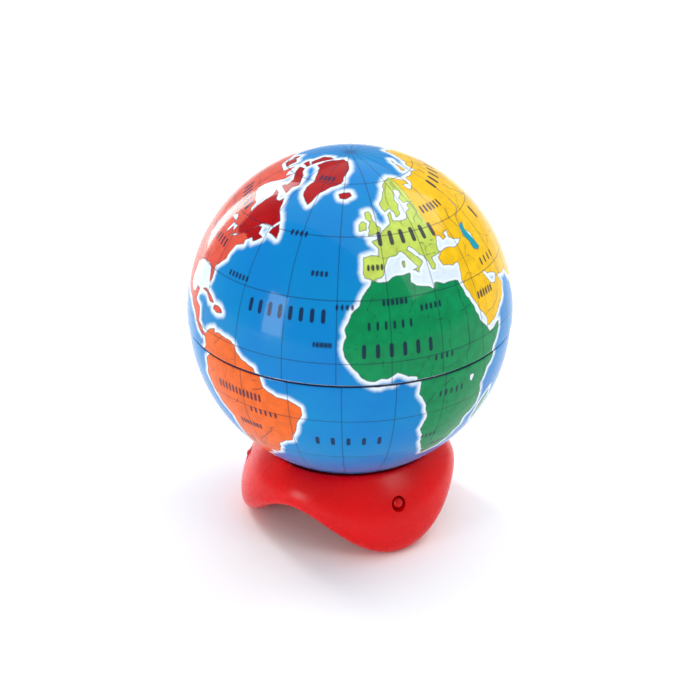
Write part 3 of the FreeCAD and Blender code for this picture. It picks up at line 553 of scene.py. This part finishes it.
def build_lower_half(materials):
    """Bowl, shoulder, neck that the upper half slips over, flat land and upturned collar."""
    bowl = arc_rows(LOWER_R, LOWER_Z, height_angle(LOWER_R, LOWER_Z, LAND_Z + 0.12),
                    height_angle(LOWER_R, LOWER_Z, SHOULDER_Z), PRINT_STEP)
    shoulder = [(LOWER_R - 0.02, SHOULDER_Z + 0.2), (LOWER_R - 0.07, SHOULDER_Z + 0.36),
                (LOWER_R - 0.15, SHOULDER_Z + 0.48)]
    neck = [(NECK_R + 0.06, SHOULDER_Z + 0.56), (NECK_R, SHOULDER_Z + 0.7), (NECK_R, NECK_TOP_Z - 1),
            (NECK_TOP_R, NECK_TOP_Z - 0.05), (NECK_TOP_R - TIN / 2, NECK_TOP_Z),
            (NECK_TOP_R - TIN, NECK_TOP_Z - 0.05), (NECK_R - TIN, NECK_TOP_Z - 1),
            (NECK_R - TIN, SHOULDER_Z + 0.55), (LOWER_R - TIN - 0.1, SHOULDER_Z)]
    inside_r = LOWER_R - TIN
    inner = arc_rows(inside_r, LOWER_Z, height_angle(inside_r, LOWER_Z, SHOULDER_Z - 0.6),
                     height_angle(inside_r, LOWER_Z, LAND_Z + TIN + 0.05), PLAIN_STEP)
    land_edge = math.sqrt(LOWER_R ** 2 - (LAND_Z - LOWER_Z) ** 2)
    foot = [(land_edge - 0.4, LAND_Z + TIN), (COLLAR_R + TIN + 0.15, LAND_Z + TIN),
            (COLLAR_R + TIN, LAND_Z + TIN + 0.15), (COLLAR_R + TIN, COLLAR_TOP_Z),
            (COLLAR_R, COLLAR_TOP_Z), (COLLAR_R, LAND_Z + 0.15), (COLLAR_R + 0.12, LAND_Z),
            (land_edge - 0.25, LAND_Z), (land_edge - 0.02, LAND_Z + 0.05)]
    return turned_mesh("lower_print", bowl + shoulder, neck + inner + foot, LOWER_Z, LOWER_R,
                       False, materials)


# ---------------------------------------------------------------- materials
class Nodes:
    """Short-hand for building one material's node tree."""

    def __init__(self, name):
        self.material = bpy.data.materials.new(name)
        self.material.use_nodes = True
        self.tree = self.material.node_tree
        self.shader = self.tree.nodes["Principled BSDF"]

    def new(self, kind, **settings):
        node = self.tree.nodes.new("ShaderNode" + kind)
        for key, value in settings.items():
            setattr(node, key, value)
        return node

    def link(self, source, target):
        self.tree.links.new(source, target)

    def attribute(self, name, output="Fac"):
        return self.new("Attribute", attribute_name=name).outputs[output]

    def maths(self, operation, first, second=0.0):
        node = self.new("Math", operation=operation)
        for socket, value in zip(node.inputs, (first, second)):
            if isinstance(value, (int, float)):
                socket.default_value = value
            else:
                self.link(value, socket)
        return node.outputs[0]

    def ramp(self, value, low, high, start=0.0, end=1.0):
        """Smooth step from start to end as the value goes from low to high."""
        node = self.new("MapRange", interpolation_type="SMOOTHSTEP")
        self.link(value, node.inputs["Value"])
        for key, number in (("From Min", low), ("From Max", high), ("To Min", start), ("To Max", end)):
            node.inputs[key].default_value = number
        return node.outputs[0]

    def mix(self, share, first, second, blend="MIX"):
        node = self.new("Mix", data_type="RGBA", blend_type=blend)
        for socket, value in zip((node.inputs[0], node.inputs[6], node.inputs[7]), (share, first, second)):
            if isinstance(value, (int, float, tuple)):
                socket.default_value = value
            else:
                self.link(value, socket)
        return node.outputs[2]

    def noise(self, size, detail=3.0, roughness=0.55):
        """Noise whose features are about the given size in millimetres."""
        where = self.new("TexCoord").outputs["Object"]
        node = self.new("TexNoise")
        self.link(where, node.inputs["Vector"])
        node.inputs["Scale"].default_value = 1 / (size * MM)
        node.inputs["Detail"].default_value = detail
        node.inputs["Roughness"].default_value = roughness
        return node.outputs["Fac"]

    def bump(self, height, strength, distance):
        node = self.new("Bump")
        node.inputs["Strength"].default_value = strength
        node.inputs["Distance"].default_value = distance * MM
        self.link(height, node.inputs["Height"])
        self.link(node.outputs[0], self.shader.inputs["Normal"])

    def surface(self, **values):
        for key, value in values.items():
            self.shader.inputs[key.replace("_", " ")].default_value = value


def print_material():
    """Lithographed tin: seas, shallows, coloured lands and fine dark lines under lacquer, and a painted
    shadow line along the lower half's shoulder.
    """
    n = Nodes("map_print")
    wander = n.maths("MULTIPLY", n.maths("SUBTRACT", n.noise(0.7), 0.5), 0.28)
    land = n.maths("ADD", n.attribute("land"), wander)
    shallow = n.ramp(land, -1.1, -0.2)
    sea = n.mix(n.ramp(n.noise(9.0), 0.3, 0.7), OCEAN, rgb(0, 124, 200))
    sea = n.mix(n.maths("MULTIPLY", shallow, 0.92), sea, SHALLOWS)
    sea = n.mix(n.ramp(n.attribute("caspian"), -0.05, 0.05), sea, TEAL_WATER)
    mottle = n.ramp(n.noise(1.6, 4.0), 0.3, 0.75, 0.86, 1.08)
    shade = n.new("CombineColor")
    for socket in shade.inputs:
        n.link(mottle, socket)
    ground = n.mix(1.0, n.attribute("tint", "Color"), shade.outputs[0], "MULTIPLY")
    river = n.ramp(n.attribute("river"), 0.04, 0.2, 0.6, 0.0)
    ground = n.mix(river, ground, INK)
    border = n.ramp(n.attribute("border"), 0.02, 0.16, 0.5, 0.0)
    ground = n.mix(border, ground, INK)
    colour = n.mix(n.ramp(land, -0.04, 0.04), sea, ground)
    coast = n.ramp(n.maths("ABSOLUTE", land), 0.03, 0.13, 0.55, 0.0)
    colour = n.mix(coast, colour, INK)
    for key in ("rule_turn", "rule_lat"):
        rule = n.ramp(n.maths("ABSOLUTE", n.attribute(key)), 0.05, 0.13, 0.5, 0.0)
        colour = n.mix(rule, colour, INK)
    # Ink of the wording bars, and the painted shadow line on the lower half's shoulder under the upper
    # half's skirt.
    label_and_seam_shade = n.ramp(n.attribute("label_and_seam_shade"), 0.13, 0.29, 0.9, 0.0)
    colour = n.mix(label_and_seam_shade, colour, INK)
    n.link(colour, n.shader.inputs["Base Color"])
    scuff = n.ramp(n.noise(0.35, 5.0), 0.35, 0.8, 0.16, 0.30)
    n.link(scuff, n.shader.inputs["Roughness"])
    n.bump(n.noise(6.0, 2.0), 0.35, 0.05)
    n.surface(Coat_Weight=0.22, Coat_Roughness=0.05, Specular_IOR_Level=0.06)
    return n.material


def tin_material():
    """Bare tinplate inside the globe, with the faint grain of rolled sheet."""
    n = Nodes("bare_tin")
    grain = n.noise(1.4, 4.0, 0.6)
    n.link(n.mix(grain, rgb(176, 178, 180), rgb(214, 214, 212)), n.shader.inputs["Base Color"])
    n.link(n.ramp(grain, 0.3, 0.8, 0.24, 0.36), n.shader.inputs["Roughness"])
    n.bump(grain, 0.1, 0.02)
    n.surface(Metallic=1.0)
    return n.material


def plastic_material(name, light, dark, gloss=0.3):
    """Moulded plastic with faint flow marks and a fine sprayed-mould texture."""
    n = Nodes(name)
    flow = n.noise(7.0, 3.0)
    n.link(n.mix(n.ramp(flow, 0.3, 0.7), dark, light), n.shader.inputs["Base Color"])
    n.link(n.ramp(n.noise(2.5, 3.0), 0.3, 0.8, gloss, gloss + 0.1), n.shader.inputs["Roughness"])
    n.bump(n.noise(5.0, 1.0), 0.03, 0.02)
    n.surface(Specular_IOR_Level=0.24)
    return n.material


def metal_material(name, light, dark, rough, size, stretch=(1, 1, 1)):
    """Worked metal: fine marks that may run along one direction."""
    n = Nodes(name)
    where = n.new("TexCoord").outputs["Object"]
    scale = n.new("Mapping")
    scale.inputs["Scale"].default_value = stretch
    n.link(where, scale.inputs["Vector"])
    marks = n.new("TexNoise")
    marks.inputs["Scale"].default_value = 1 / (size * MM)
    marks.inputs["Detail"].default_value = 6.0
    n.link(scale.outputs[0], marks.inputs["Vector"])
    n.link(n.mix(marks.outputs["Fac"], dark, light), n.shader.inputs["Base Color"])
    n.link(n.ramp(marks.outputs["Fac"], 0.3, 0.75, rough, rough + 0.2), n.shader.inputs["Roughness"])
    n.bump(marks.outputs["Fac"], 0.35, 0.02)
    n.surface(Metallic=1.0)
    return n.material


def dress_nodes():
    """Gives each carried-over CAD node its material."""
    looks = {
        "base": plastic_material("red_base_plastic", rgb(226, 0, 8), rgb(214, 0, 6), 0.24),
        "pencil_guide": plastic_material("red_guide_plastic", rgb(214, 0, 8), rgb(198, 0, 6), 0.26),
        "retaining_ring": plastic_material("natural_ring_plastic", rgb(236, 232, 218),
                                           rgb(224, 219, 203), 0.42),
        "sharpener_body": metal_material("cast_wedge", rgb(196, 198, 202), rgb(150, 152, 156),
                                         0.34, 0.5),
        "blade": metal_material("ground_blade", rgb(206, 208, 212), rgb(150, 153, 158), 0.2,
                                0.6, (12, 1, 1)),
        "blade_screw": metal_material("plated_screw", rgb(200, 196, 184), rgb(150, 146, 134),
                                      0.28, 0.3)}
    for node, material in looks.items():
        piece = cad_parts[node]
        for slot in piece.material_slots:
            slot.material = material


# ---------------------------------------------------------------- studio
def build_floor():
    """Plain pale floor that runs out of sight."""
    bpy.ops.mesh.primitive_plane_add(size=12, location=(0, 0, -0.02 * MM))
    floor = bpy.context.object
    floor.name = "studio_floor"
    n = Nodes("pale_floor")
    n.surface(Roughness=0.6)
    n.link(n.mix(n.noise(40.0), rgb(252, 252, 252), rgb(249, 249, 249)), n.shader.inputs["Base Color"])
    floor.data.materials.append(n.material)


def add_softbox(name, place, target, width, height, power):
    """A rectangular area light that points at a target."""
    data = bpy.data.lights.new(name, "AREA")
    data.shape = "RECTANGLE"
    data.size, data.size_y = width, height
    data.energy = power
    light = bpy.data.objects.new(name, data)
    light.location = place
    aim = Vector(target) - Vector(place)
    light.rotation_euler = aim.to_track_quat("-Z", "Y").to_euler()
    bpy.context.collection.objects.link(light)


def build_lights():
    """The soft boxes and the even light of the surroundings."""
    world = bpy.data.worlds.new("studio_world")
    world.use_nodes = True
    background = world.node_tree.nodes["Background"]
    background.inputs["Color"].default_value = (1, 1, 1, 1)
    background.inputs["Strength"].default_value = 0.55
    bpy.context.scene.world = world
    middle = (0, 0, 0.03)
    add_softbox("back_strip", (-0.31, 0.39, 0.24), middle, 0.09, 0.50, 1.5)
    add_softbox("sky_box", (0.2, 0.5, 1.6), (0, 0.3, 0), 2.4, 2.4, 19.0)
    add_softbox("left_box", (-0.42, -0.32, 0.13), middle, 0.14, 0.24, 0.8)
    add_softbox("right_box", (0.48, -0.30, 0.40), middle, 0.26, 0.26, 0.7)
    add_softbox("key_box", (0.38, 0.22, 0.55), middle, 0.30, 0.30, 1.2)


def build_camera():
    """Looks along +Y and down at the globe, a little above a hand's length away."""
    elevation = math.radians(24.4)
    distance = 230 * MM
    centre = Vector((0, 0, UPPER_Z * MM - 0.0005))
    forward = Vector((0, math.cos(elevation), -math.sin(elevation)))
    data = bpy.data.cameras.new("photo_camera")
    data.lens = 76.6
    data.sensor_width = 36
    data.shift_y = -0.058
    data.clip_start = 0.01
    camera = bpy.data.objects.new("photo_camera", data)
    camera.location = centre - forward * distance
    camera.rotation_euler = (math.pi / 2 - elevation, 0, 0)
    bpy.context.collection.objects.link(camera)
    bpy.context.scene.camera = camera


def main():
    build_camera()
    build_lights()
    build_floor()
    map_print, bare_tin = print_material(), tin_material()
    upper = build_upper_half([map_print, bare_tin])
    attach(upper, "upper_globe")
    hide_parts("upper_globe_half")
    lower = build_lower_half([map_print, bare_tin])
    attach(lower, "lower_globe")
    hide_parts("lower_globe_half")
    dress_nodes()
    bpy.context.scene.view_settings.view_transform = "Standard"


main()
